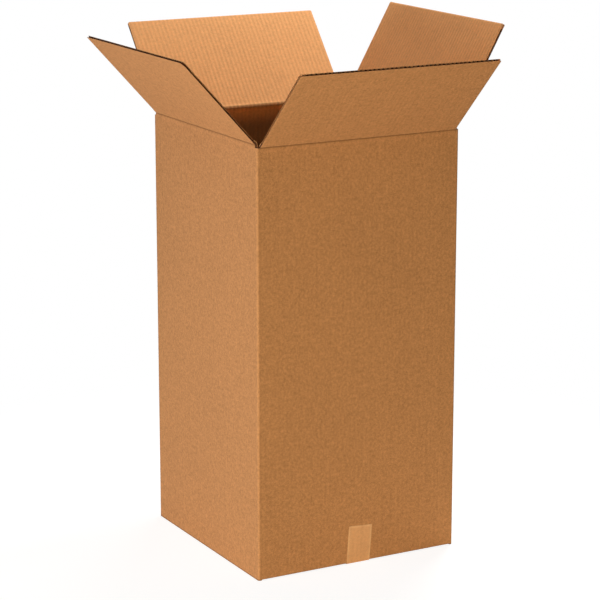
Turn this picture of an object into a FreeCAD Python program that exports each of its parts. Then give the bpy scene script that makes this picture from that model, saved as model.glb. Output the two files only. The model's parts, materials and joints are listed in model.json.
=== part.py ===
import FreeCAD, Part
import math
import os
from FreeCAD import Vector

# An open, tall, square carton of single-wall corrugated board. Its bottom is folded shut and taped, and its
# four top flaps stand open. Millimetres and degrees. Z is up, and the origin is on the floor, in the middle
# of the footprint. The front wall faces -Y. The front and back flaps are the inner pair, which fold in first,
# and the left and right flaps are the outer pair, which lie over them.

# Overall sizes of the box, outside
BOX_WIDTH = 416.0
BOX_DEPTH = 416.0
# Height of the inner pair's score above the floor
FOLD_HEIGHT = 798.0

# The board: its thickness, its two flat liners, the wavy medium between them and the wave's length
BOARD = 4.8
LINER = 0.55
MEDIUM = 0.45
FLUTE_PITCH = 8.7
# Shares of one wave at which the channel between wave and liner starts and reaches its full height
CHANNEL_START_SHARE = 0.14
CHANNEL_FULL_SHARE = 0.36
# Plain board left at each side edge of a flap, beside the last channel
SIDE_MARGIN = 2.2
# Length of a flap near its score that is crushed flat and holds no channel
CRUSHED_LENGTH = 9.0

# Folds of the upright corners and of the bottom edges
CORNER_RADIUS = 4.0
INNER_CORNER_RADIUS = 1.0
BOTTOM_FOLD_RADIUS = 2.5

# Slots between neighbouring flaps, and the seam where a pair of flaps meets in the middle
SLOT_WIDTH = 9.5
SEAM_GAP = 5.0
FLAP_CORNER_RADIUS = 3.0

# Score of a top flap: depth of the fold's axis below the outer face, which is also the radius of its rounded
# root, and the gap kept between the flap's root and the wall
AXIS_DEPTH = 0.5
CREASE_GAP = 0.3
# Gap between boards that lie flat on each other
STACK_GAP = 0.3
# Angle from upright to which a flap can fold back, outwards
FOLD_BACK_ANGLE = 150.0

# Lean of each open flap from upright, outwards, as it stands at rest
FRONT_LEAN_ANGLE = 45.5
BACK_LEAN_ANGLE = 39.5
LEFT_LEAN_ANGLE = 42.5
RIGHT_LEAN_ANGLE = 29.5

# Glue lap, inside the back wall at the back right corner
LAP_WIDTH = 36.0
LAP_THICKNESS = 3.0
LAP_END_MARGIN = 14.0
LAP_END_ANGLE = 15.0
# Open line left at that corner, where the back wall's cut edge meets the fold of the lap
LAP_SEAM_WIDTH = 0.6

# Carton tape along the bottom seam, with a leg up the front and the back wall
TAPE_WIDTH = 49.0
TAPE_THICKNESS = 0.15
TAPE_LEG = 73.0
TAPE_OFFSET = 5.9

HALF_WIDTH = BOX_WIDTH / 2
HALF_DEPTH = BOX_DEPTH / 2
# The outer pair's score is one board higher, so that its flaps close flat over the inner pair
OUTER_FOLD_HEIGHT = FOLD_HEIGHT + BOARD + STACK_GAP
# The slot is centred on the fold of the corner, in the middle of the board
SLOT_INSET = (SLOT_WIDTH + BOARD) / 2
# Width of the post that is left at each corner below the slot, clear of the flaps' ends
POST_WIDTH = SLOT_INSET - CREASE_GAP
# Underside of the inner bottom pair, which lies on the outer one
INNER_FLOOR = BOARD + STACK_GAP
# How near a measured length has to be to count as equal
NEAR = 0.01

SIDES = ("left", "right", "front", "back")


def polygon(points):
    """A closed wire through the points."""
    return Part.makePolygon(points + [points[0]])


def prism(points, along):
    """A straight solid whose section is the polygon through the points."""
    return Part.Face(polygon(points)).extrude(along)


def block(low, high):
    """A box between two corners."""
    low, high = Vector(*low), Vector(*high)
    size = high - low
    return Part.makeBox(size.x, size.y, size.z, low)


def rounded_column(half_x, half_y, radius, bottom, top):
    """An upright square column with its four upright edges rounded."""
    column = block((-half_x, -half_y, bottom), (half_x, half_y, top))
    upright = [e for e in column.Edges if abs(e.tangentAt(e.FirstParameter).z) > 0.5]
    return column.makeFillet(radius, upright)


def wall_top_points():
    """The two slopes that end a wall below its score, as depth from the outer face and height from the axis.

    The outer slope leaves room for the flap when it is folded back. The inner one leaves room for the closed
    flap, whose root slopes at 45 degrees, and has the same slope.
    """
    depth_part = -math.cos(math.radians(FOLD_BACK_ANGLE))
    height_part = -math.sin(math.radians(FOLD_BACK_ANGLE))
    reach = AXIS_DEPTH + CREASE_GAP
    slope_drop = CREASE_GAP * math.sqrt(2)
    outer = Vector(0, 0, (reach + AXIS_DEPTH * depth_part) / height_part)
    ridge = (reach + slope_drop * height_part) / (depth_part - height_part)
    apex = Vector(AXIS_DEPTH + ridge, 0, -ridge - slope_drop)
    inner = Vector(BOARD, 0, AXIS_DEPTH - BOARD - slope_drop)
    return [outer, apex, inner]


def place_on_wall(shape, side, height):
    """Turns a shape made for the left wall, with depth along X and length along Y, onto the named wall."""
    angle = {"left": 0, "front": 90, "right": 180, "back": 270}[side]
    half_length = {"left": HALF_WIDTH, "front": HALF_DEPTH, "right": HALF_WIDTH, "back": HALF_DEPTH}[side]
    placed = shape.copy()
    placed.translate(Vector(-half_length, 0, height))
    placed.rotate(Vector(0, 0, 0), Vector(0, 0, 1), angle)
    return placed


def wall_length(side):
    """Outside length of the wall named by side."""
    return BOX_DEPTH if side in ("left", "right") else BOX_WIDTH


def axis_height(side):
    """Height of the score of the wall named by side."""
    return OUTER_FOLD_HEIGHT if side in ("left", "right") else FOLD_HEIGHT


def wall_top_cutter(side):
    """What is cut off the top of a wall, so that it ends in the two slopes of its score."""
    outer, apex, inner = wall_top_points()
    top = 2 * BOARD
    beyond = Vector(-BOARD, 0, outer.z)
    section = [beyond, outer, apex, inner, Vector(BOARD, 0, top), Vector(-BOARD, 0, top)]
    half = wall_length(side) / 2 - POST_WIDTH
    cutter = prism([p + Vector(0, -half, 0) for p in section], Vector(0, 2 * half, 0))
    return place_on_wall(cutter, side, axis_height(side))


def slot_cutters():
    """What is cut off above the four corner posts, which are the floors of the slots."""
    cutters = []
    for x in (-HALF_WIDTH, HALF_WIDTH):
        for y in (-HALF_DEPTH, HALF_DEPTH):
            low = (x - POST_WIDTH, y - POST_WIDTH, FOLD_HEIGHT)
            cutters.append(block(low, (x + POST_WIDTH, y + POST_WIDTH, OUTER_FOLD_HEIGHT + BOARD)))
    return cutters


def make_walls():
    """The four walls, with rounded corners, ending in a score at the top."""
    outer = rounded_column(HALF_WIDTH, HALF_DEPTH, CORNER_RADIUS, 0, OUTER_FOLD_HEIGHT)
    inner = rounded_column(HALF_WIDTH - BOARD, HALF_DEPTH - BOARD, INNER_CORNER_RADIUS,
                           -BOARD, OUTER_FOLD_HEIGHT + BOARD)
    walls = outer.cut(inner)
    return walls.cut([wall_top_cutter(side) for side in SIDES] + slot_cutters())


def front_back_undercut(side):
    """What is cut off below the front and back walls, which end on top of the outer bottom pair."""
    half = HALF_WIDTH - SLOT_INSET
    cutter = block((-BOARD, -half, -BOARD), (2 * BOARD, half, INNER_FLOOR))
    return place_on_wall(cutter, side, 0)


def bottom_flap(side, underside):
    """One bottom flap, folded in from its wall to the seam in the middle, with a rounded fold outside."""
    half = wall_length(side) / 2 - SLOT_INSET
    reach = (HALF_WIDTH if side in ("left", "right") else HALF_DEPTH) - SEAM_GAP / 2
    flap = block((0, -half, underside), (reach, half, underside + BOARD))
    return place_on_wall(flap, side, 0)


def round_bottom_folds(body):
    """Rounds the outside edge along which each bottom flap is folded."""
    edges = []
    for e in body.Edges:
        box = e.BoundBox
        along_y = box.YLength > HALF_DEPTH and box.XLength < NEAR and box.ZLength < NEAR
        along_x = box.XLength > HALF_WIDTH and box.YLength < NEAR and box.ZLength < NEAR
        on_side = abs(abs(box.XMin) - HALF_WIDTH) < NEAR and abs(box.ZMin) < NEAR
        on_front = abs(abs(box.YMin) - HALF_DEPTH) < NEAR and abs(box.ZMin - INNER_FLOOR) < NEAR
        if (along_y and on_side) or (along_x and on_front):
            edges.append(e)
    return body.makeFillet(BOTTOM_FOLD_RADIUS, edges)


def glue_lap():
    """The lap, glued to the inside of the back wall, with sloping ends."""
    right = HALF_WIDTH - BOARD / 2
    left = HALF_WIDTH - BOARD - LAP_WIDTH
    slope = (right - left) * math.tan(math.radians(LAP_END_ANGLE))
    low = INNER_FLOOR + BOARD + LAP_END_MARGIN
    high = FOLD_HEIGHT - BOARD - LAP_END_MARGIN
    back = HALF_DEPTH - BOARD / 2
    points = [Vector(right, back, low), Vector(left, back, low + slope),
              Vector(left, back, high - slope), Vector(right, back, high)]
    return prism(points, Vector(0, -BOARD / 2 - LAP_THICKNESS, 0))


def lap_seam():
    """The open line at the back right corner, where the back wall's cut edge ends."""
    right = HALF_WIDTH - CORNER_RADIUS
    return block((right - LAP_SEAM_WIDTH, HALF_DEPTH - BOARD / 2, INNER_FLOOR),
                 (right, HALF_DEPTH + BOARD, FOLD_HEIGHT))


def make_body():
    """Walls, bottom flaps and glue lap: one sheet, folded and glued."""
    body = make_walls()
    for side in ("front", "back"):
        body = body.cut(front_back_undercut(side))
    flaps = [bottom_flap("left", 0), bottom_flap("right", 0)]
    flaps += [bottom_flap("front", INNER_FLOOR), bottom_flap("back", INNER_FLOOR)]
    body = body.fuse(flaps).removeSplitter()
    body = round_bottom_folds(body)
    body = body.fuse(glue_lap())
    body = body.cut(lap_seam())
    # The tape lies flush in the board, which the box's weight presses down round it
    tape_half = TAPE_WIDTH / 2
    pressed = block((TAPE_OFFSET - tape_half, -BOX_DEPTH, -BOARD),
                    (TAPE_OFFSET + tape_half, BOX_DEPTH, TAPE_THICKNESS))
    return body.cut(pressed).removeSplitter()


def channel_points(start, foot, crown):
    """One channel between the wave and a liner: its section, from its foot on the liner to its crown."""
    shares = (CHANNEL_START_SHARE, CHANNEL_FULL_SHARE, 1 - CHANNEL_FULL_SHARE, 1 - CHANNEL_START_SHARE)
    depths = (foot, crown, crown, foot)
    return [Vector(depth, start + share * FLUTE_PITCH, 0) for share, depth in zip(shares, depths)]


def channels(length):
    """The sections of all the channels across a flap of the given length along its score."""
    count = int((length - 2 * SIDE_MARGIN) / FLUTE_PITCH - 0.5)
    first = -(count + 0.5) * FLUTE_PITCH / 2
    outer_foot, inner_foot = LINER, BOARD - LINER
    sections = []
    for i in range(count):
        start = first + i * FLUTE_PITCH
        sections.append(channel_points(start, outer_foot, inner_foot - MEDIUM))
        sections.append(channel_points(start + FLUTE_PITCH / 2, inner_foot, outer_foot + MEDIUM))
    return sections


def flap_root(length):
    """The crushed root of a flap, standing upright on the axis: a round foot and a 45 degree slope inside."""
    rise = AXIS_DEPTH * math.sqrt(0.5)
    slope_end = AXIS_DEPTH + rise
    lines = Part.makePolygon([
        Vector(slope_end, 0, rise),
        Vector(BOARD, 0, BOARD - AXIS_DEPTH),
        Vector(BOARD, 0, CRUSHED_LENGTH),
        Vector(0, 0, CRUSHED_LENGTH),
        Vector(0, 0, 0),
    ])
    foot = Part.Arc(Vector(0, 0, 0), Vector(AXIS_DEPTH, 0, -AXIS_DEPTH), Vector(slope_end, 0, rise)).toShape()
    section = Part.Face(Part.Wire(lines.Edges + [foot]))
    section.translate(Vector(0, -length / 2, 0))
    return section.extrude(Vector(0, length, 0))


def flap_plate(length, reach):
    """The flat of a flap, upright: two liners and the wavy medium, with open channels at its free edge."""
    outline = polygon([Vector(0, -length / 2, 0), Vector(BOARD, -length / 2, 0),
                       Vector(BOARD, length / 2, 0), Vector(0, length / 2, 0)])
    wires = [outline] + [polygon(points) for points in channels(length)]
    section = Part.makeFace(wires, "Part::FaceMakerBullseye")
    section.translate(Vector(0, 0, CRUSHED_LENGTH))
    return section.extrude(Vector(0, 0, reach - CRUSHED_LENGTH))


def tip_edges(flap, length, reach):
    """The two short edges at the free corners of an upright flap."""
    boxes = [(e, e.BoundBox) for e in flap.Edges]
    return [e for e, box in boxes if abs(abs(box.YMin) - length / 2) < NEAR
            and abs(box.ZMin - reach) < NEAR and box.YLength < NEAR]


def make_flap(side, lean):
    """One top flap, leaning outwards from its score."""
    length = wall_length(side) - 2 * SLOT_INSET
    reach = (HALF_WIDTH if side in ("left", "right") else HALF_DEPTH) - AXIS_DEPTH - SEAM_GAP / 2
    flap = flap_plate(length, reach).fuse(flap_root(length)).removeSplitter()
    flap = flap.makeFillet(FLAP_CORNER_RADIUS, tip_edges(flap, length, reach))
    flap.rotate(Vector(AXIS_DEPTH, 0, 0), Vector(0, 1, 0), -lean)
    return place_on_wall(flap, side, axis_height(side))


def make_tape():
    """The tape: one strip bent up at both ends."""
    left = TAPE_OFFSET - TAPE_WIDTH / 2
    wall = HALF_DEPTH
    outside = wall + TAPE_THICKNESS
    points = [(-outside, TAPE_LEG), (-outside, 0), (outside, 0), (outside, TAPE_LEG),
              (wall, TAPE_LEG), (wall, TAPE_THICKNESS), (-wall, TAPE_THICKNESS), (-wall, TAPE_LEG)]
    return prism([Vector(left, y, z) for y, z in points], Vector(TAPE_WIDTH, 0, 0))


def main():
    os.makedirs("parts", exist_ok=True)
    nodes = {
        "box_body": make_body(),
        "front_flap": make_flap("front", FRONT_LEAN_ANGLE),
        "back_flap": make_flap("back", BACK_LEAN_ANGLE),
        "left_flap": make_flap("left", LEFT_LEAN_ANGLE),
        "right_flap": make_flap("right", RIGHT_LEAN_ANGLE),
        "sealing_tape": make_tape(),
    }
    for name, shape in nodes.items():
        shape.exportStep(f"parts/{name}.step")
        box = shape.BoundBox
        print(f"{name}: solids {len(shape.Solids)}, valid {shape.isValid()}, volume {shape.Volume:.0f}, "
              f"faces {len(shape.Faces)}, z {box.ZMin:.2f} to {box.ZMax:.2f}")
    outer, apex, inner = wall_top_points()
    print(f"outer slope starts {outer.z:.2f}, apex {apex.x:.2f} {apex.z:.2f}, inner {inner.z:.2f}")


main()
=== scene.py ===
import json
import math

import bmesh
import bpy
from mathutils import Matrix, Vector


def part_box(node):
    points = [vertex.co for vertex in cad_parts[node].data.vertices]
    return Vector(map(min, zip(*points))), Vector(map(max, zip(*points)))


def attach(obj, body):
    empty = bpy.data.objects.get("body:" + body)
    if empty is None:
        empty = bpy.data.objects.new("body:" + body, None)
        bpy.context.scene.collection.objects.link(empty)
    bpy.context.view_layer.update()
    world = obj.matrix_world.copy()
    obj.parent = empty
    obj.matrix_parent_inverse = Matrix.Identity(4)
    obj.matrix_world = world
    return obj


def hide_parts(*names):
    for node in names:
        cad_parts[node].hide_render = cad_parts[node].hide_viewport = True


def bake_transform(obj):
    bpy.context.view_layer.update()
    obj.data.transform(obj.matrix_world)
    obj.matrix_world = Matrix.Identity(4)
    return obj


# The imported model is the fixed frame: its sizes, joints and leans are read here and nothing of it is moved.
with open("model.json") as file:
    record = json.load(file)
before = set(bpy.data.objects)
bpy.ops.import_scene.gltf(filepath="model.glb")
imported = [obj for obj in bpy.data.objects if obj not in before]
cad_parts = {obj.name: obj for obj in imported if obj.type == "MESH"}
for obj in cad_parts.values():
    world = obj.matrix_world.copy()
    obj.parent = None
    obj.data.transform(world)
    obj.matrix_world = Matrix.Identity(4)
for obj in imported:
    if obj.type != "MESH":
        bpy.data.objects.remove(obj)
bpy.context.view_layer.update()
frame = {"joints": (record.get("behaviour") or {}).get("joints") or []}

bl_info = {
    "name": "Open carton",
    "version": (1, 0, 0),
    "blender": (4, 5, 0),
    "location": "View3D > Sidebar > Carton",
    "description": "Corrugated board, creases, tape and studio for a tall open carton",
    "category": "Object",
}

# Lengths are metres. On each wall the local X is the depth from its outer face inwards, Y runs along its
# score and Z goes up from its score. The turn is the one about Z that brings the left wall to each side.
TURN = {"left": 0, "front": 90, "right": 180, "back": 270}
INNER_PAIR = ("front", "back")
OUTER_PAIR = ("left", "right")
BODY_LOW, BODY_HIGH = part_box("box_body")
HALF = {"left": -BODY_LOW.x, "right": BODY_HIGH.x, "front": -BODY_LOW.y, "back": BODY_HIGH.y}
# Where the middle of each wall lies on the flat sheet that the carton is folded from
SHEET_PLACE = {
    "right": HALF["front"],
    "front": 2 * HALF["front"] + HALF["left"],
    "left": 2 * (HALF["front"] + HALF["left"]) + HALF["back"],
    "back": 4 * HALF["front"] + 2 * HALF["left"] + HALF["right"],
}
# Material numbers of a board's faces; the core's number also paints cut edges and seams dark as painted shade
OUTER, INNER, CORE_AND_SHADE = 0, 1, 2
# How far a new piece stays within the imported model's own outline, and the gap between boards that lie flat
HAIR = 0.0002
STACK_GAP = 0.0003
# The tape's height under the carton, and the radius of its turn at the foot of the front and back walls
TAPE_RISE, TAPE_TURN = 0.00014, 0.0012


# ---- Sizes read from the frame ----

def hinge(side):
    """Depth of the score's axis in the board, its height and the flap's lean from upright, in radians."""
    joint = next(j for j in frame["joints"] if j["child"] == f"{side}_flap")
    x, y, height = joint["pos_m"]
    depth = HALF[side] - max(abs(x), abs(y))
    return depth, height, math.radians(joint["range_deg"][1] - 90)


def score_length(side):
    """Length of a top flap along its score."""
    low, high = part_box(f"{side}_flap")
    return high.x - low.x if side in INNER_PAIR else high.y - low.y


def flap_reach(side, thickness):
    """Distance from a top flap's score to its free edge."""
    depth, height, lean = hinge(side)
    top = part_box(f"{side}_flap")[1].z - height
    return (top - (thickness - depth) * math.sin(lean)) / math.cos(lean)


def wall_place(side, height=0.0):
    """The matrix from a wall's local axes to the frame, with the local origin at the given height."""
    turn = Matrix.Rotation(math.radians(TURN[side]), 4, "Z")
    return turn @ Matrix.Translation((-HALF[side], 0, height))


def flap_place(side):
    """The matrix that leans an upright flap, drawn in its wall's local axes, out about its score."""
    depth, height, lean = hinge(side)
    axis = Matrix.Translation((depth, 0, 0))
    return wall_place(side, height) @ axis @ Matrix.Rotation(-lean, 4, "Y") @ axis.inverted()


def floor_flap_place(side, underside):
    """The matrix that lays an upright board, drawn in its wall's local axes, flat on the carton's floor."""
    fold = Matrix(((0, 0, 1, 0), (0, -1, 0, 0), (1, 0, 0, 0), (0, 0, 0, 1)))
    return wall_place(side, underside) @ fold


# ---- Settings ----

def length_property(name, description, default, top=1.0):
    """A length in metres that a user can change."""
    return bpy.props.FloatProperty(name=name, description=description, default=default, min=0.0, max=top,
                                   precision=5, subtype="DISTANCE", unit="LENGTH")


def colour_property(name, description, default):
    """A colour that a user can change, as linear red, green and blue."""
    return bpy.props.FloatVectorProperty(name=name, description=description, default=default, size=3,
                                         min=0.0, max=1.0, subtype="COLOR")


def share_property(name, description, default, top=1.0):
    """A share or strength that a user can change."""
    return bpy.props.FloatProperty(name=name, description=description, default=default, min=0.0, max=top,
                                   precision=3, subtype="FACTOR")


def power_property(name, description, default):
    """A lamp's power in watts that a user can change."""
    return bpy.props.FloatProperty(name=name, description=description, default=default, min=0.0, max=1000.0,
                                   subtype="POWER", unit="POWER")


class BoardSettings(bpy.types.PropertyGroup):
    """Sizes and colours of the corrugated board."""

    thickness: length_property("Board thickness", "Thickness of the whole board", 0.0048, 0.02)
    liner: length_property("Liner thickness", "Thickness of each flat liner", 0.00055, 0.002)
    medium: length_property("Medium thickness", "Thickness of the wavy medium", 0.00045, 0.002)
    flute: length_property("Flute length", "Length of one wave of the medium", 0.0087, 0.02)
    fold_radius: length_property("Fold radius", "Outer radius of the upright corners", 0.004, 0.02)
    inner_fold_radius: length_property("Inner fold radius", "Inner radius of the upright corners", 0.001, 0.02)
    seam: length_property("Bottom seam", "Gap where a pair of bottom flaps meets", 0.005, 0.05)
    outer_colour: colour_property("Outer liner", "Colour of the outer kraft liner", (0.50, 0.223, 0.085))
    inner_colour: colour_property("Inner liner", "Colour of the inner kraft liner", (0.80, 0.388, 0.152))
    # The inside colour is the inner liner darkened as painted shade, for the walls below the flaps
    inside_painted_shade: colour_property("Inside", "Duller inner liner of the walls, below the flaps",
                                   (0.315, 0.176, 0.080))
    # The core colour is darkened as painted shade of the open flutes, and is also put on cut edges
    core_colour_and_shade: colour_property("Core", "Colour of the medium and of cut edges", (0.095, 0.038, 0.020))
    # The washboard shares tone the liners along the flutes as painted shade of the waves
    outer_washboard_shade: share_property("Outer washboard", "How much the waves tone the outer liner", 0.007, 0.3)
    inner_washboard_shade: share_property("Inner washboard", "How much the waves tone the inner liner", 0.045, 0.3)


class LapSettings(bpy.types.PropertyGroup):
    """Sizes of the glue lap."""

    width: length_property("Lap width", "Width of the glue lap", 0.036, 0.2)
    thickness: length_property("Lap thickness", "Thickness of the pressed board of the lap", 0.003, 0.02)
    margin: length_property("Lap margin", "How far the lap's ends stay from the flaps", 0.014, 0.2)
    slope: bpy.props.FloatProperty(name="Lap slope", description="Slope of the lap's cut ends",
                                   default=math.radians(15), min=0.0, max=math.radians(60),
                                   subtype="ANGLE", unit="ROTATION")


class FlapSettings(bpy.types.PropertyGroup):
    """Small forms of the top flaps."""

    band: length_property("Crease band", "Length of board on each side of a score that bends", 0.008, 0.03)
    tip_radius: length_property("Corner radius", "Radius of the flaps' free corners", 0.003, 0.02)
    worn_radius: length_property("Worn corner radius", "Radius of the left flap's worn corner", 0.010, 0.03)
    crush: share_property("Edge crush", "Share of its thickness that the board loses at a cut edge", 0.18)
    crush_width: length_property("Crush width", "How far in from a cut edge the board is crushed", 0.004, 0.02)
    bow: length_property("Bow", "How far the middle of a flap bows out of flat", 0.0008, 0.01)


class TapeSettings(bpy.types.PropertyGroup):
    """Form and colour of the sealing tape."""

    thickness: length_property("Tape thickness", "Thickness of the tape", 0.00012, 0.001)
    skew: length_property("Skew", "How far the foot of the front leg is off to the left", 0.005, 0.02)
    colour: colour_property("Tape colour", "Colour of the tape on the board", (0.69, 0.325, 0.122))
    edge_colour: colour_property("Tape edge colour", "Paler colour along the tape's edges", (0.76, 0.40, 0.165))


class StageSettings(bpy.types.PropertyGroup):
    """Camera, lights and floor."""

    lens: bpy.props.FloatProperty(name="Lens", description="Focal length on a 36 mm sensor", default=140.0,
                                  min=10.0, max=500.0, subtype="DISTANCE_CAMERA", unit="CAMERA")
    camera_place: bpy.props.FloatVectorProperty(name="Camera place", description="Where the camera stands",
                                                default=(-2.0662, -3.7504, 1.5093), size=3,
                                                subtype="TRANSLATION", unit="LENGTH")
    camera_turn: bpy.props.FloatVectorProperty(name="Camera turn", description="How the camera is turned",
                                               default=(math.radians(76.198), 0.0, math.radians(-28.758)),
                                               size=3, subtype="EULER", unit="ROTATION")
    left_power: power_property("Left softbox", "Power of the softbox on the left", 40.3)
    front_power: power_property("Front softbox", "Power of the softbox in front", 30.0)
    top_power: power_property("Top softbox", "Power of the softbox overhead", 29.0)
    fill_power: power_property("Fill softbox", "Power of the softbox behind on the right", 75.0)
    left_colour: colour_property("Left light", "Colour of the softbox on the left", (0.92, 0.965, 1.0))
    front_colour: colour_property("Front light", "Colour of the softbox in front", (1.0, 0.94, 0.70))
    room: share_property("Room light", "Strength of the even light of the room", 0.03, 2.0)
    floor_size: length_property("Floor size", "Half the width of the floor", 16.0, 50.0)


class CartonSettings(bpy.types.PropertyGroup):
    """All settings of the carton and its studio."""

    board: bpy.props.PointerProperty(type=BoardSettings, name="Board", description="The corrugated board")
    lap: bpy.props.PointerProperty(type=LapSettings, name="Glue lap", description="The glue lap")
    flaps: bpy.props.PointerProperty(type=FlapSettings, name="Flaps", description="The top flaps")
    tape: bpy.props.PointerProperty(type=TapeSettings, name="Tape", description="The sealing tape")
    stage: bpy.props.PointerProperty(type=StageSettings, name="Stage", description="The studio")


# ---- Shader nodes ----

def node(tree, kind, inputs=(), output=0, **settings):
    """Adds a shader node and returns one of its outputs. Each input is a number or another node's output."""
    made = tree.nodes.new("ShaderNode" + kind)
    for name, value in settings.items():
        setattr(made, name, value)
    for name, value in dict(inputs).items():
        socket = made.inputs[name]
        if isinstance(value, bpy.types.NodeSocket):
            tree.links.new(value, socket)
        else:
            socket.default_value = value
    return made.outputs[output]


def calculate(tree, operation, *values):
    """A Math node on one to three values."""
    return node(tree, "Math", enumerate(values), operation=operation)


def ramp(tree, value, start, end, low=0.0, high=1.0):
    """A value eased from low at start to high at end."""
    inputs = {"Value": value, "From Min": start, "From Max": end, "To Min": low, "To Max": high}
    return node(tree, "MapRange", inputs, interpolation_type="SMOOTHSTEP")


def mix_colours(tree, factor, first, second, blend="MIX"):
    """A Mix node on two colours."""
    return node(tree, "Mix", {0: factor, 6: first, 7: second}, output=2, data_type="RGBA", blend_type=blend)


def stretched_noise(tree, place, scale, detail=2.0):
    """Noise whose scale differs along each axis, in features a metre."""
    vector = node(tree, "Mapping", {"Vector": place, "Scale": scale})
    return node(tree, "TexNoise", {"Vector": vector, "Scale": 1.0, "Detail": detail, "Roughness": 0.55})


def weighted_sum(tree, start, terms):
    """The start value plus each term's amount times how far its value is from one half."""
    total = start
    for value, amount in terms:
        off = calculate(tree, "SUBTRACT", value, 0.5)
        total = calculate(tree, "MULTIPLY_ADD", off, amount, total)
    return total


def distance_from(tree, value, centre=0.0):
    """How far a value is from a centre."""
    off = calculate(tree, "SUBTRACT", value, centre) if centre else value
    return calculate(tree, "ABSOLUTE", off)


def stripe(tree, distance, core, edge):
    """One up to the core distance, eased to zero at the edge distance."""
    return ramp(tree, distance, core, edge, 1.0, 0.0)


def toned(tree, tone, mask, amount):
    """The tone with a share more or less of it where the mask is one."""
    return calculate(tree, "MULTIPLY", tone, calculate(tree, "MULTIPLY_ADD", mask, amount, 1.0))


def new_material(name, roughness, specular):
    """A material with one Principled shader, and its node tree."""
    material = bpy.data.materials.new(name)
    material.use_nodes = True
    shader = material.node_tree.nodes["Principled BSDF"]
    shader.inputs["Roughness"].default_value = roughness
    shader.inputs["Specular IOR Level"].default_value = specular
    return material, material.node_tree, shader


def colour4(colour):
    """A colour property as the four numbers of a shader socket."""
    return (colour[0], colour[1], colour[2], 1.0)


# ---- Materials ----

def fold_shade_highlight_and_wear(tree, tone, along, up):
    """The tone with painted shade, highlights and wear along the sheet's folds: top scores, upright corners and
    bottom folds.
    """
    # The top score: a dark line of painted shade where the board bends, and a paler line just below it
    tone = toned(tree, tone, stripe(tree, distance_from(tree, up), 0.0005, 0.0030), -0.36)
    tone = toned(tree, tone, stripe(tree, distance_from(tree, up, -0.0065), 0.0, 0.004), 0.06)

    # The upright corners: a pale line on the fold, partly rubbed wear and partly painted highlight, and a pressed
    # line of painted shade beside it
    wall = 2 * HALF["front"]
    walls_passed = calculate(tree, "DIVIDE", along, wall)
    turns = calculate(tree, "ADD", walls_passed, 0.5)
    offset = calculate(tree, "MULTIPLY", calculate(tree, "SUBTRACT", calculate(tree, "FRACT", turns), 0.5), wall)
    tone = toned(tree, tone, stripe(tree, distance_from(tree, offset), 0.0008, 0.0030), 0.05)
    tone = toned(tree, tone, stripe(tree, distance_from(tree, offset, -0.0050), 0.0006, 0.0024), -0.07)

    # The bottom fold: a dark line of painted shade. The outer pair's walls, first and third on the sheet, are the
    # taller ones
    high, low = hinge("left")[1], hinge("front")[1]
    pair = calculate(tree, "MODULO", calculate(tree, "FLOOR", walls_passed), 2.0)
    above_fold = calculate(tree, "ADD", up, calculate(tree, "MULTIPLY_ADD", pair, low - high, high))
    return toned(tree, tone, stripe(tree, distance_from(tree, above_fold), 0.0012, 0.0034), -0.38)


def kraft_liner(name, colour, wall_colour_and_shade, washboard_shade, wave_height, speckle, seed, board):
    """Kraft paper over flutes: fibres, flecks, soft clouds, washboard waves, and painted shade, highlights and wear
    at the folds.

    Everything is placed in the coordinates of the flat sheet: U along the scores and V up from them. The wall
    colour is that of the walls below the top scores, on the inner liner darkened as painted shade. The speckle
    scales all fine spots, and the washboard share tones the waves as painted shade.
    """
    material, tree, shader = new_material(name, 0.85, 0.10)
    sheet = node(tree, "UVMap", uv_map="sheet")
    spread = node(tree, "Mapping", {"Vector": sheet, "Location": (seed, 0.7 * seed, 0.0)})
    axes = node(tree, "SeparateXYZ", {"Vector": sheet}).node
    along, up = axes.outputs["X"], axes.outputs["Y"]

    clouds = stretched_noise(tree, spread, (6.0, 5.0, 1.0))
    blotches = stretched_noise(tree, spread, (75.0, 60.0, 1.0))
    mottle = stretched_noise(tree, spread, (200.0, 180.0, 1.0), 1.0)
    specks = stretched_noise(tree, spread, (520.0, 560.0, 1.0))
    fibres = stretched_noise(tree, spread, (500.0, 1900.0, 1.0))
    streaks = stretched_noise(tree, spread, (150.0, 3.5, 1.0))
    flecks = ramp(tree, stretched_noise(tree, spread, (420.0, 520.0, 1.0), 1.0), 0.68, 0.78)
    phase = calculate(tree, "MULTIPLY", along, 2 * math.pi / board.flute)
    uneven = calculate(tree, "MULTIPLY_ADD", clouds, 2.0, phase)
    wave = calculate(tree, "MULTIPLY_ADD", calculate(tree, "SINE", uneven), 0.5, 0.5)

    # The waves' share of the tone is painted shade of the washboard ripple
    tone = weighted_sum(tree, 1.0, [
        (clouds, 0.10), (blotches, 0.30 * speckle), (mottle, 0.58 * speckle), (specks, 0.80 * speckle),
        (fibres, 0.20), (streaks, 0.06), (wave, 2 * washboard_shade)])
    tone = fold_shade_highlight_and_wear(tree, toned(tree, tone, flecks, -0.25), along, up)
    # The walls' colour, on the inner liner darkened as painted shade, turns into that of the flaps over the last
    # few centimetres below the top scores
    paper = mix_colours(tree, ramp(tree, up, -0.040, -0.003), colour4(wall_colour_and_shade), colour4(colour))
    base = mix_colours(tree, 1.0, paper, tone, "MULTIPLY")
    tree.links.new(base, shader.inputs["Base Color"])

    height = weighted_sum(tree, 0.0, [
        (clouds, 0.0030), (blotches, 0.00030), (specks, 0.00010), (fibres, 0.00006), (wave, wave_height)])
    bump = node(tree, "Bump", {"Strength": 1.0, "Distance": 1.0, "Height": height})
    tree.links.new(bump, shader.inputs["Normal"])
    return material


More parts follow.
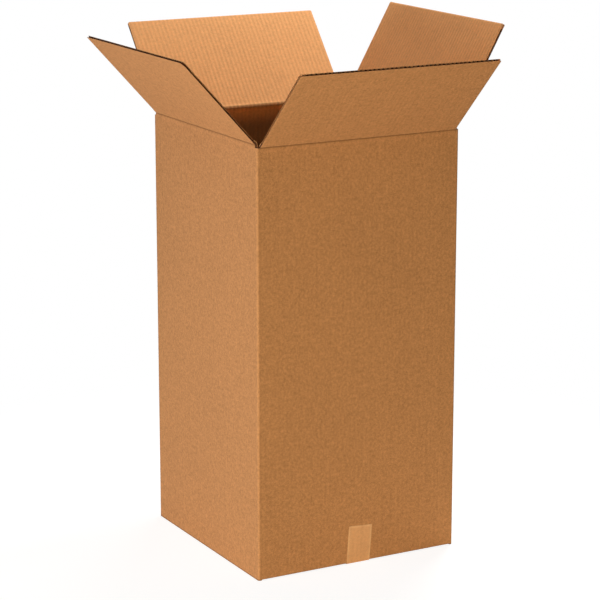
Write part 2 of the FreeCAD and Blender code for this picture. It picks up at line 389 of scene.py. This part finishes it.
def fluted_core_and_shade(board):
    """The rougher paper of the medium and of cut edges, darkened as painted shade of the open flutes and edges."""
    material, tree, shader = new_material("fluted_core_and_shade", 0.95, 0.10)
    place = node(tree, "TexCoord", output="Object")
    grain = stretched_noise(tree, place, (900.0, 900.0, 900.0), 3.0)
    patches = stretched_noise(tree, place, (60.0, 60.0, 60.0))
    tone = weighted_sum(tree, 1.0, [(grain, 0.5), (patches, 0.5)])
    base = mix_colours(tree, 1.0, colour4(board.core_colour_and_shade), tone, "MULTIPLY")
    tree.links.new(base, shader.inputs["Base Color"])
    bump = node(tree, "Bump", {"Strength": 1.0, "Distance": 0.0002, "Height": grain})
    tree.links.new(bump, shader.inputs["Normal"])
    return material


def carton_tape(tape, board):
    """Carton tape pressed on the board: paler, glossier, with paler edges and the flutes showing through."""
    material, tree, shader = new_material("carton_tape", 0.42, 0.45)
    strip = node(tree, "UVMap", uv_map="sheet")
    axes = node(tree, "SeparateXYZ", {"Vector": strip}).node
    across, along = axes.outputs["X"], axes.outputs["Y"]
    low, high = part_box("sealing_tape")
    side_gap = calculate(tree, "SUBTRACT", (high.x - low.x) / 2, distance_from(tree, across))
    end_gap = calculate(tree, "SUBTRACT", high.z + HALF["front"], distance_from(tree, along))
    edge = stripe(tree, calculate(tree, "MINIMUM", side_gap, end_gap), 0.0015, 0.0055)
    specks = stretched_noise(tree, strip, (520.0, 480.0, 1.0))
    mottle = stretched_noise(tree, strip, (180.0, 150.0, 1.0), 1.0)
    soft = stretched_noise(tree, strip, (45.0, 22.0, 1.0))
    wave = calculate(tree, "SINE", calculate(tree, "MULTIPLY", across, 2 * math.pi / board.flute))
    tone = weighted_sum(tree, 1.0, [(specks, 0.30), (mottle, 0.28), (soft, 0.20)])
    lifted = calculate(tree, "MULTIPLY", edge, ramp(tree, soft, 0.30, 0.62))
    colour = mix_colours(tree, lifted, colour4(tape.colour), colour4(tape.edge_colour))
    base = mix_colours(tree, 1.0, colour, tone, "MULTIPLY")
    tree.links.new(base, shader.inputs["Base Color"])
    height = weighted_sum(tree, 0.0, [(specks, 0.00004), (soft, 0.0006), (wave, 0.00004)])
    bump = node(tree, "Bump", {"Strength": 1.0, "Distance": 1.0, "Height": height})
    tree.links.new(bump, shader.inputs["Normal"])
    return material


def board_materials(board):
    """Outer liner, inner liner and core, in the order of their face numbers. Made once and shared."""
    names = ("kraft_outer", "kraft_inner", "fluted_core_and_shade")
    if names[0] not in bpy.data.materials:
        kraft_liner(names[0], board.outer_colour, board.outer_colour, board.outer_washboard_shade, 0.00007, 1.0, 0.0,
                    board)
        kraft_liner(names[1], board.inner_colour, board.inside_painted_shade, board.inner_washboard_shade, 0.00040, 0.55, 5.0,
                    board)
        fluted_core_and_shade(board)
    return [bpy.data.materials[name] for name in names]


# ---- Mesh helpers ----

def grid(length, start, end, columns, rows):
    """A flat grid in local Y and Z, as a new bmesh: its length along Y, and from start to end along Z."""
    bm = bmesh.new()
    place = Matrix(((0, 0, 1, 0), (length / 2, 0, 0, 0), (0, (end - start) / 2, 0, (start + end) / 2),
                    (0, 0, 0, 1)))
    bmesh.ops.create_grid(bm, x_segments=columns, y_segments=rows, size=1.0, matrix=place)
    return bm


def cut_along(bm, point, normal, clear=False):
    """Cuts the whole mesh along a plane. What lies on the normal's side is removed if clear is set."""
    geometry = bm.verts[:] + bm.edges[:] + bm.faces[:]
    bmesh.ops.bisect_plane(bm, geom=geometry, dist=1e-7, plane_co=point, plane_no=normal, clear_outer=clear)


def round_corner(bm, sign, length, end, radius):
    """Cuts a flat grid's free corner on the given side of Y round, with planes that touch an arc."""
    centre = Vector((0, sign * (length / 2 - radius), end - radius))
    steps = 6
    for i in range(1, steps):
        angle = math.pi / 2 * i / steps
        normal = Vector((0, sign * math.cos(angle), math.sin(angle)))
        cut_along(bm, centre + radius * normal, normal, clear=True)


def thicken(bm, thickness):
    """Gives a flat grid its thickness along local X."""
    made = bmesh.ops.extrude_face_region(bm, geom=bm.faces[:])
    moved = [g for g in made["geom"] if isinstance(g, bmesh.types.BMVert)]
    bmesh.ops.translate(bm, verts=moved, vec=(thickness, 0, 0))
    bmesh.ops.recalc_face_normals(bm, faces=bm.faces[:])


def paint(bm, number):
    """Gives all faces one material number."""
    for face in bm.faces:
        face.material_index = number


def paint_rims(bm, number):
    """Gives the faces around a flat board, which face along it, one material number."""
    bm.normal_update()
    for face in bm.faces:
        if abs(face.normal.x) < 0.5:
            face.material_index = number


def merge_into(bm, part):
    """Adds a finished part to a bmesh and frees it."""
    carrier = bpy.data.meshes.new("part")
    part.to_mesh(carrier)
    part.free()
    bm.from_mesh(carrier)
    bpy.data.meshes.remove(carrier)


def lay_on_sheet(bm, side, faces=None, place=None):
    """Writes each corner's place on the flat sheet into the UV map, from the wall's local Y and Z."""
    layer = bm.loops.layers.uv.get("sheet") or bm.loops.layers.uv.new("sheet")
    for face in faces or bm.faces:
        for loop in face.loops:
            local = place @ loop.vert.co if place else loop.vert.co
            loop[layer].uv = (SHEET_PLACE[side] + local.y, local.z)


def shade_smooth(bm, angle=math.radians(28)):
    """Smooth shading, with edges sharper than the angle kept sharp."""
    for face in bm.faces:
        face.smooth = True
    for edge in bm.edges:
        edge.smooth = len(edge.link_faces) == 2 and edge.calc_face_angle(math.pi) < angle


def finish_piece(name, bm, materials, slot, *replaced):
    """Turns a bmesh into an object at the origin, with its materials. The slot is not used."""
    shade_smooth(bm)
    mesh = bpy.data.meshes.new(name)
    bm.to_mesh(mesh)
    bm.free()
    for material in materials:
        mesh.materials.append(material)
    piece = bpy.data.objects.new(name, mesh)
    bpy.context.scene.collection.objects.link(piece)
    if replaced:
        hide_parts(*replaced)
    return piece


# ---- Corrugated board ----

def crushed(distance, width):
    """How much of the full crush a point has at that distance from a cut edge."""
    share = min(max(1 - distance / width, 0.0), 1.0)
    return share * share


def fluted_board(board, flaps, length, start, end, radii, bow=0.0):
    """An upright corrugated board, as a bmesh: two liners with the wavy medium between them.

    The radii are those of its free corners at negative and positive Y. The cut edges are crushed a little.
    """
    waves = round((length - board.flute) / board.flute)
    rise = board.thickness - 2 * board.liner - board.medium
    rows, liner_columns, wave_columns = 8, 40, 10
    whole = bmesh.new()
    for number, depth in ((OUTER, 0.0), (INNER, board.thickness - board.liner), (CORE_AND_SHADE, board.liner)):
        is_core = number == CORE_AND_SHADE
        layer = grid(waves * board.flute if is_core else length, start, end,
                     waves * wave_columns if is_core else liner_columns, rows)
        for v in layer.verts:
            wave = 0.5 - 0.5 * math.cos(2 * math.pi * v.co.y / board.flute)
            v.co.x = depth + rise * wave if is_core else depth
        for inset in (0.25, 0.5, 0.75, 1.0):
            cut_along(layer, (0, 0, end - inset * flaps.crush_width), (0, 0, 1))
            if not is_core:
                side = length / 2 - inset * flaps.crush_width
                cut_along(layer, (0, side, 0), (0, 1, 0))
                cut_along(layer, (0, -side, 0), (0, 1, 0))
        for sign, radius in zip((-1, 1), radii):
            round_corner(layer, sign, length, end, radius)
        thicken(layer, board.medium if is_core else board.liner)
        paint(layer, number)
        if not is_core:
            # The liners' cut rims get the core's dark colour, painted shade on the cut edges
            paint_rims(layer, CORE_AND_SHADE)
        merge_into(whole, layer)
    # The board is crushed towards a plane a little outside its middle. The bow peaks two thirds of the way up
    middle = 0.4 * board.thickness
    peak = 4 / 27
    for v in whole.verts:
        nearest = min(end - v.co.z, length / 2 - abs(v.co.y))
        share = flaps.crush * crushed(nearest, flaps.crush_width)
        v.co.x += (middle - v.co.x) * share
        risen = (v.co.z - start) / (end - start)
        v.co.x += bow * risen ** 2 * (1 - risen) / peak * math.cos(math.pi * v.co.y / length)
    return whole


def crease_lines(board, band, depth, lean):
    """The outer and inner lines of a crease's section at rest, from the wall up to the flap, in local X and Z.

    The outer line dips into a valley at the score, and the inner line runs round it in a flattened arc.
    """
    axis = Vector((depth, 0, 0))
    turn = Matrix.Rotation(-lean, 3, "Y")

    def on_flap(x, z):
        return axis + turn @ (Vector((x, 0, z)) - axis)

    t = board.thickness
    # The valley ends a share of its depth short of the axis
    short = 0.35
    valley = axis + short * depth * Vector((-math.cos(lean / 2), 0, -math.sin(lean / 2)))
    # Depth, as a share of the score's, and distance from the score, as a share of the band
    steps = [(0.10, 0.15), (0.0, 0.25), (0.0, 0.40), (0.0, 0.62), (0.0, 1.0)]
    outer = [Vector((dip * depth, 0, -far * band)) for dip, far in reversed(steps)]
    outer.append(valley)
    outer += [on_flap(dip * depth, far * band) for dip, far in steps]
    radius = math.hypot(t - depth, t - depth)
    first, last = -math.pi / 4, math.pi / 4 + lean
    flattening = 0.22
    inner = [Vector((t, 0, -band))]
    for i in range(9):
        share = i / 8
        angle = first + share * (last - first)
        reach = radius * (1 - flattening * math.sin(math.pi * share))
        inner.append(axis + reach * Vector((math.cos(angle), 0, math.sin(angle))))
    inner.append(on_flap(t, band))
    return outer, inner


def crease_band(board, band, side):
    """The strip of board bent at a top flap's score, as a bmesh in the wall's local axes."""
    depth, _, lean = hinge(side)
    outer, inner = crease_lines(board, band, depth, lean)
    length = score_length(side)
    thin = board.liner / board.thickness
    core_recess = 0.0006
    layers = [(OUTER, 0.0, thin, 0.0), (CORE_AND_SHADE, thin, 1 - thin, core_recess), (INNER, 1 - thin, 1.0, 0.0)]
    whole = bmesh.new()
    for number, near, far, recess in layers:
        layer = bmesh.new()
        half = length / 2 - recess
        ring = [a.lerp(b, near) for a, b in zip(outer, inner)]
        ring += [a.lerp(b, far) for a, b in zip(reversed(outer), reversed(inner))]
        section = layer.faces.new([layer.verts.new(p + Vector((0, -half, 0))) for p in ring])
        made = bmesh.ops.extrude_face_region(layer, geom=[section])
        moved = [g for g in made["geom"] if isinstance(g, bmesh.types.BMVert)]
        bmesh.ops.translate(layer, verts=moved, vec=(0, 2 * half, 0))
        bmesh.ops.recalc_face_normals(layer, faces=layer.faces[:])
        paint(layer, number)
        merge_into(whole, layer)
    # On the flat sheet the band runs straight, so its V is the distance along the section from the score
    layer = whole.loops.layers.uv.new("sheet")
    axis = Vector((depth, 0, 0))
    unturn = Matrix.Rotation(lean, 3, "Y")
    middle = Vector((math.cos(lean / 2), 0, math.sin(lean / 2)))
    upper = Vector((-middle.z, 0, middle.x))
    for face in whole.faces:
        for loop in face.loops:
            off = loop.vert.co - axis
            above = off.dot(upper)
            v = off.z if above < 0 else (unturn @ off).z
            v = max(-band, min(band, v))
            if (above < 0) != (v < 0):
                v = 0.0
            loop[layer].uv = (SHEET_PLACE[side] + loop.vert.co.y, v)
    return whole


# ---- Walls ----

def rounded_tube(half_x, half_y, radius, bottom, top):
    """The skin of an upright rectangular tube with rounded corners, as a bmesh."""
    bm = bmesh.new()
    size = Matrix.Diagonal((2 * half_x, 2 * half_y, top - bottom, 1))
    bmesh.ops.create_cube(bm, size=1.0, matrix=Matrix.Translation((0, 0, (top + bottom) / 2)) @ size)
    ends = [f for f in bm.faces if abs(f.normal.z) > 0.5]
    bmesh.ops.delete(bm, geom=ends, context="FACES_ONLY")
    upright = [e for e in bm.edges if abs(e.verts[0].co.z - e.verts[1].co.z) > (top - bottom) / 2]
    bmesh.ops.bevel(bm, geom=upright, offset=radius, segments=6, profile=0.5, affect="EDGES", material=-1)
    return bm


def make_walls(board, flaps):
    """The four walls up to the crease bands, with the corner posts that stand between the flaps."""
    t = board.thickness
    post = (2 * HALF["left"] - score_length("front")) / 2 - STACK_GAP
    slot_floor = min(hinge(side)[1] for side in TURN)
    # The front and back walls stop short of the floor, where the tape turns under them
    taped_foot = 0.0016
    tops = {side: hinge(side)[1] - flaps.band for side in TURN}
    whole = bmesh.new()
    for number, inset, radius in ((OUTER, 0.0, board.fold_radius), (INNER, t, board.inner_fold_radius)):
        tube = rounded_tube(HALF["left"] - inset, HALF["front"] - inset, radius, HAIR, slot_floor)
        for level in (taped_foot, *sorted(set(tops.values()))):
            cut_along(tube, (0, 0, level), (0, 0, 1))
        for sign in (-1, 1):
            cut_along(tube, (sign * (HALF["left"] - post), 0, 0), (1, 0, 0))
            cut_along(tube, (0, sign * (HALF["front"] - post), 0), (0, 1, 0))
        gone = []
        for face in tube.faces:
            centre = face.calc_center_median()
            side = facing(centre)
            along = centre.x if side in INNER_PAIR else centre.y
            if abs(along) > HALF[side] - post:
                continue
            if centre.z > tops[side] or (side in INNER_PAIR and centre.z < taped_foot):
                gone.append(face)
        bmesh.ops.delete(tube, geom=gone, context="FACES")
        paint(tube, number)
        if number == INNER:
            bmesh.ops.reverse_faces(tube, faces=tube.faces[:])
        merge_into(whole, tube)
    open_edges = [e for e in whole.edges if len(e.link_faces) == 1]
    for upper in (False, True):
        rims = [e for e in open_edges if (e.verts[0].co.z > slot_floor / 2) == upper]
        made = bmesh.ops.bridge_loops(whole, edges=rims)
        # The rims between the liners get the core's dark colour, painted shade on the cut edges
        for face in made["faces"]:
            face.material_index = CORE_AND_SHADE
    open_lap_seam(whole, board)
    for face in whole.faces:
        side = facing(face.calc_center_median())
        lay_on_sheet(whole, side, [face], wall_place(side, hinge(side)[1]).inverted())
    return whole


def facing(point):
    """The side of the carton that a point of its walls lies on."""
    if abs(point.x) * HALF["front"] > abs(point.y) * HALF["left"]:
        return "left" if point.x < 0 else "right"
    return "front" if point.y < 0 else "back"


def open_lap_seam(bm, board):
    """Opens the line at the back right corner, where the back wall's cut edge meets the fold of the lap."""
    seam_width, sliver = 0.0006, 1e-5
    right = HALF["right"] - board.fold_radius
    left = right - seam_width
    cut_along(bm, (left, 0, 0), (1, 0, 0))
    cut_along(bm, (right - sliver, 0, 0), (1, 0, 0))
    strip = [f for f in bm.faces if f.normal.y > 0.9 and left < f.calc_center_median().x < right
             and f.calc_center_median().y > HALF["back"] - HAIR / 2]
    made = bmesh.ops.extrude_face_region(bm, geom=strip)
    moved = [g for g in made["geom"] if isinstance(g, bmesh.types.BMVert)]
    bmesh.ops.translate(bm, verts=moved, vec=(0, -board.thickness / 2, 0))
    bmesh.ops.delete(bm, geom=[f for f in strip if f.is_valid], context="FACES")
    # The seam's recess gets the core's dark colour, painted shade in the seam
    for v in moved:
        for face in v.link_faces:
            face.material_index = CORE_AND_SHADE


class CARTON_OT_walls(bpy.types.Operator):
    """Make the folded walls with their corner posts"""

    bl_idname = "carton.walls"
    bl_label = "Walls"

    def execute(self, context):
        settings = context.scene.carton
        bm = make_walls(settings.board, settings.flaps)
        piece = finish_piece("carton_walls", bm, board_materials(settings.board), "kraft_board", "box_body")
        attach(piece, "carton")
        return {"FINISHED"}


class CARTON_OT_floor_flaps(bpy.types.Operator):
    """Make the four bottom flaps, folded shut"""

    bl_idname = "carton.floor_flaps"
    bl_label = "Bottom flaps"

    def execute(self, context):
        settings = context.scene.carton
        board = settings.board
        # The flaps start just inside the fold and have all but sharp corners
        start = 0.9 * board.thickness
        corner_radius = 0.001
        whole = bmesh.new()
        for side in TURN:
            underside = HAIR if side in OUTER_PAIR else board.thickness + STACK_GAP
            bm = fluted_board(board, settings.flaps, score_length(side), start,
                              HALF[side] - board.seam / 2, (corner_radius, corner_radius))
            below_wall = Matrix.Translation((0, 0, -hinge(side)[1])) @ Matrix.Diagonal((1, 1, -1, 1))
            lay_on_sheet(bm, side, place=below_wall)
            bmesh.ops.transform(bm, matrix=floor_flap_place(side, underside), verts=bm.verts[:])
            merge_into(whole, bm)
        piece = finish_piece("bottom_flaps", whole, board_materials(board), "kraft_board")
        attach(piece, "carton")
        return {"FINISHED"}


class CARTON_OT_glue_lap(bpy.types.Operator):
    """Make the glue lap inside the back right corner"""

    bl_idname = "carton.glue_lap"
    bl_label = "Glue lap"

    def execute(self, context):
        settings = context.scene.carton
        board, lap = settings.board, settings.lap
        low = 2 * board.thickness + STACK_GAP + lap.margin
        high = hinge("back")[1] - board.thickness - lap.margin
        bm = grid(lap.width, low, high, 12, 8)
        for end, sign in ((low, -1), (high, 1)):
            cut_along(bm, (0, lap.width / 2, end), (0, -math.tan(lap.slope), sign), clear=True)
        thicken(bm, lap.thickness)
        paint(bm, INNER)
        # The lap's cut rims get the core's dark colour, painted shade on the edges
        paint_rims(bm, CORE_AND_SHADE)
        lay_on_sheet(bm, "back", place=Matrix.Translation((0, 0, -hinge("back")[1])))
        wall = HALF["right"] - board.thickness
        bmesh.ops.translate(bm, verts=bm.verts[:], vec=(board.thickness - HAIR, wall - lap.width / 2, 0))
        bmesh.ops.transform(bm, matrix=wall_place("back"), verts=bm.verts[:])
        piece = finish_piece("glue_lap", bm, board_materials(board), "kraft_board")
        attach(piece, "carton")
        return {"FINISHED"}


class CARTON_OT_top_flaps(bpy.types.Operator):
    """Make the four open top flaps of fluted board"""

    bl_idname = "carton.top_flaps"
    bl_label = "Top flaps"

    def execute(self, context):
        settings = context.scene.carton
        board, flaps = settings.board, settings.flaps
        for side in TURN:
            # The left flap's near corner is worn, and the outer pair bows the other way
            near = flaps.worn_radius if side == "left" else flaps.tip_radius
            bow = flaps.bow if side in INNER_PAIR else -flaps.bow
            bm = fluted_board(board, flaps, score_length(side), flaps.band,
                              flap_reach(side, board.thickness), (near, flaps.tip_radius), bow)
            lay_on_sheet(bm, side)
            bmesh.ops.transform(bm, matrix=flap_place(side), verts=bm.verts[:])
            piece = finish_piece(f"{side}_flap_board", bm, board_materials(board), "kraft_board",
                                 f"{side}_flap")
            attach(piece, f"{side}_flap")
        return {"FINISHED"}


class CARTON_OT_creases(bpy.types.Operator):
    """Make the bent strips of board at the four top scores"""

    bl_idname = "carton.creases"
    bl_label = "Creases"

    def execute(self, context):
        settings = context.scene.carton
        board, band = settings.board, settings.flaps.band
        for side in TURN:
            depth, height, lean = hinge(side)
            place = wall_place(side, height)
            bm = crease_band(board, band, side)
            bmesh.ops.transform(bm, matrix=place, verts=bm.verts[:])
            piece = finish_piece(f"{side}_crease", bm, board_materials(board), "kraft_board")
            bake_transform(piece)
        return {"FINISHED"}


# ---- Tape ----

def tape_path(leg):
    """Points in Y and Z along the tape: down the front leg, under the carton and up the back leg."""
    wall, turn = HALF["front"], TAPE_TURN
    rounding = 0.3 * turn
    front_leg = [(-wall, z) for z in (leg, 0.05, 0.025, 0.008, turn)]
    underside = [(y, TAPE_RISE) for y in (turn - wall, -0.1, 0.0, 0.1, wall - turn)]
    back_leg = [(wall, z) for z in (turn, 0.03, leg)]
    return [*front_leg, (rounding - wall, rounding), *underside, (wall - rounding, rounding), *back_leg]


def tape_strip(path, half):
    """A thin strip along the path, as a bmesh. Its V is the length along the path from the middle of the carton."""
    bm = bmesh.new()
    edge = bm.edges.new([bm.verts.new((x, *path[0])) for x in (-half, half)])
    layer = bm.loops.layers.uv.new("sheet")
    travelled = path[0][0] - path[0][1]
    lengths = {v: travelled for v in edge.verts}
    run = [edge]
    for (y0, z0), (y1, z1) in zip(path, path[1:]):
        travelled += math.hypot(y1 - y0, z1 - z0)
        made = bmesh.ops.extrude_edge_only(bm, edges=run)
        moved = [g for g in made["geom"] if isinstance(g, bmesh.types.BMVert)]
        bmesh.ops.translate(bm, verts=moved, vec=(0, y1 - y0, z1 - z0))
        run = [g for g in made["geom"] if isinstance(g, bmesh.types.BMEdge)]
        lengths.update({v: travelled for v in moved})
    bmesh.ops.recalc_face_normals(bm, faces=bm.faces[:])
    for face in bm.faces:
        for loop in face.loops:
            loop[layer].uv = (loop.vert.co.x, lengths[loop.vert])
    return bm


def skew_front_leg(bm, skew, half, height):
    """Turns the front leg askew and lets the strip under the carton follow its foot."""
    wall = HALF["front"]
    for v in bm.verts:
        if v.co.y < 0:
            share = 1 - v.co.z / height if v.co.y < TAPE_TURN - wall else -v.co.y / wall
            v.co.z -= skew / height * (v.co.x + half) * max(v.co.z, 0) / height
            v.co.x -= skew * share


class CARTON_OT_tape(bpy.types.Operator):
    """Make the strip of tape along the bottom seam and up the front and back walls"""

    bl_idname = "carton.tape"
    bl_label = "Tape"

    def execute(self, context):
        settings = context.scene.carton
        tape = settings.tape
        low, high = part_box("sealing_tape")
        half, middle = (high.x - low.x) / 2, (high.x + low.x) / 2
        bm = tape_strip(tape_path(high.z - HAIR / 2), half)
        skew_front_leg(bm, tape.skew, half, high.z)
        bmesh.ops.translate(bm, verts=bm.verts[:], vec=(middle, 0, 0))
        bmesh.ops.solidify(bm, geom=bm.faces[:], thickness=-tape.thickness)
        # A negative thickness leaves the closed strip inside out
        bmesh.ops.recalc_face_normals(bm, faces=bm.faces[:])
        piece = finish_piece("bottom_tape", bm, [carton_tape(tape, settings.board)], "carton_tape",
                             "sealing_tape")
        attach(piece, "carton")
        return {"FINISHED"}


# ---- Stage ----

def seen_directly(tree):
    """One for what the camera sees, also in a reflection or through glass, and zero for other light."""
    path = node(tree, "LightPath").node
    seen = calculate(tree, "ADD", path.outputs["Is Camera Ray"], path.outputs["Is Glossy Ray"])
    return calculate(tree, "MINIMUM", calculate(tree, "ADD", seen, path.outputs["Is Transmission Ray"]), 1.0)


def make_floor(size):
    """A plain white floor that keeps a soft shadow and fades to pure white away from the carton."""
    bm = bmesh.new()
    bmesh.ops.create_grid(bm, x_segments=1, y_segments=1, size=size)
    mesh = bpy.data.meshes.new("floor")
    bm.to_mesh(mesh)
    bm.free()
    material = bpy.data.materials.new("studio_floor")
    material.use_nodes = True
    tree = material.node_tree
    tree.nodes.clear()
    place = node(tree, "TexCoord", output="Object")
    distance = node(tree, "VectorMath", {0: place}, output="Value", operation="LENGTH")
    # The carton gets light back from white paper around its foot. The camera sees the shadow on a pale glow,
    # which turns pure white further out
    paper = node(tree, "BsdfDiffuse", {"Color": ramp(tree, distance, 0.35, 1.0, 0.95, 0.30)})
    shaded = node(tree, "BsdfDiffuse", {"Color": (0.34, 0.34, 0.34, 1.0)})
    glow = node(tree, "Emission", {"Color": (1.0, 1.0, 1.0, 1.0), "Strength": 0.86})
    white = node(tree, "Emission", {"Color": (1.0, 1.0, 1.0, 1.0), "Strength": 1.0})
    near = node(tree, "AddShader", {0: shaded, 1: glow})
    away = ramp(tree, distance, 0.45, 1.1)
    shown = node(tree, "MixShader", {0: away, 1: near, 2: white})
    surface = node(tree, "MixShader", {0: seen_directly(tree), 1: paper, 2: shown})
    output = tree.nodes.new("ShaderNodeOutputMaterial")
    tree.links.new(surface, output.inputs["Surface"])
    mesh.materials.append(material)
    floor = bpy.data.objects.new("floor", mesh)
    bpy.context.scene.collection.objects.link(floor)


def make_world(strength):
    """Even room light, and a white backdrop for the camera."""
    world = bpy.data.worlds.new("studio")
    world.use_nodes = True
    tree = world.node_tree
    background = tree.nodes["Background"]
    background.inputs["Color"].default_value = (1.0, 1.0, 1.0, 1.0)
    seen = seen_directly(tree)
    level = calculate(tree, "MULTIPLY_ADD", seen, 1.0 - strength, strength)
    tree.links.new(level, background.inputs["Strength"])
    bpy.context.scene.world = world


def softbox(name, place, target, width, height, power, colour=(1.0, 1.0, 1.0)):
    """A rectangular lamp aimed at a point. Lengths are metres and the power is watts."""
    lamp = bpy.data.lights.new(name, "AREA")
    lamp.color = colour
    lamp.shape = "RECTANGLE"
    lamp.size = width
    lamp.size_y = height
    lamp.energy = power
    holder = bpy.data.objects.new(name, lamp)
    holder.location = place
    holder.rotation_euler = (Vector(target) - Vector(place)).to_track_quat("-Z", "Y").to_euler()
    bpy.context.scene.collection.objects.link(holder)


class CARTON_OT_stage(bpy.types.Operator):
    """Make the floor, the lights, the white backdrop and the camera"""

    bl_idname = "carton.stage"
    bl_label = "Stage"

    def execute(self, context):
        scene = context.scene
        stage = scene.carton.stage
        scene.view_settings.view_transform = "Standard"
        make_floor(stage.floor_size)
        make_world(stage.room)
        middle = (0.0, 0.0, 0.45)
        softbox("left_softbox", (-2.2, -0.4, 0.35), middle, 1.6, 0.6, stage.left_power, stage.left_colour)
        softbox("front_softbox", (-0.6, -2.4, 0.40), middle, 1.6, 0.7, stage.front_power, stage.front_colour)
        softbox("top_softbox", (0.62, 0.34, 2.2), (0.2, 0.34, 0.8), 0.5, 0.3, stage.top_power)
        softbox("fill_softbox", (2.6, 2.6, 0.8), middle, 2.0, 1.2, stage.fill_power)
        lens = bpy.data.cameras.new("camera")
        lens.lens = stage.lens
        lens.sensor_width = 36.0
        camera = bpy.data.objects.new("camera", lens)
        camera.location = stage.camera_place
        camera.rotation_euler = stage.camera_turn
        scene.collection.objects.link(camera)
        scene.camera = camera
        return {"FINISHED"}


class CARTON_PT_panel(bpy.types.Panel):
    """The carton's settings and steps"""

    bl_idname = "CARTON_PT_panel"
    bl_label = "Open carton"
    bl_space_type = "VIEW_3D"
    bl_region_type = "UI"
    bl_category = "Carton"

    def draw(self, context):
        settings = context.scene.carton
        for group in (settings.board, settings.lap, settings.flaps, settings.tape, settings.stage):
            box = self.layout.box()
            for name in group.__annotations__:
                box.prop(group, name)
        for operator in OPERATORS:
            self.layout.operator(operator.bl_idname)


OPERATORS = (CARTON_OT_stage, CARTON_OT_walls, CARTON_OT_floor_flaps, CARTON_OT_glue_lap,
             CARTON_OT_top_flaps, CARTON_OT_creases, CARTON_OT_tape)
CLASSES = (BoardSettings, LapSettings, FlapSettings, TapeSettings, StageSettings, CartonSettings, *OPERATORS,
           CARTON_PT_panel)


def register():
    """Adds the add-on's classes and the scene's settings."""
    for cls in CLASSES:
        bpy.utils.register_class(cls)
    bpy.types.Scene.carton = bpy.props.PointerProperty(type=CartonSettings, name="Carton",
                                                       description="Settings of the open carton")


def unregister():
    """Takes away what register adds."""
    del bpy.types.Scene.carton
    for cls in reversed(CLASSES):
        bpy.utils.unregister_class(cls)


def main():
    """Makes the stage and every piece."""
    register()
    bpy.ops.carton.stage()
    bpy.ops.carton.walls()
    bpy.ops.carton.floor_flaps()
    bpy.ops.carton.glue_lap()
    bpy.ops.carton.top_flaps()
    bpy.ops.carton.creases()
    bpy.ops.carton.tape()


if __name__ == "__main__":
    main()
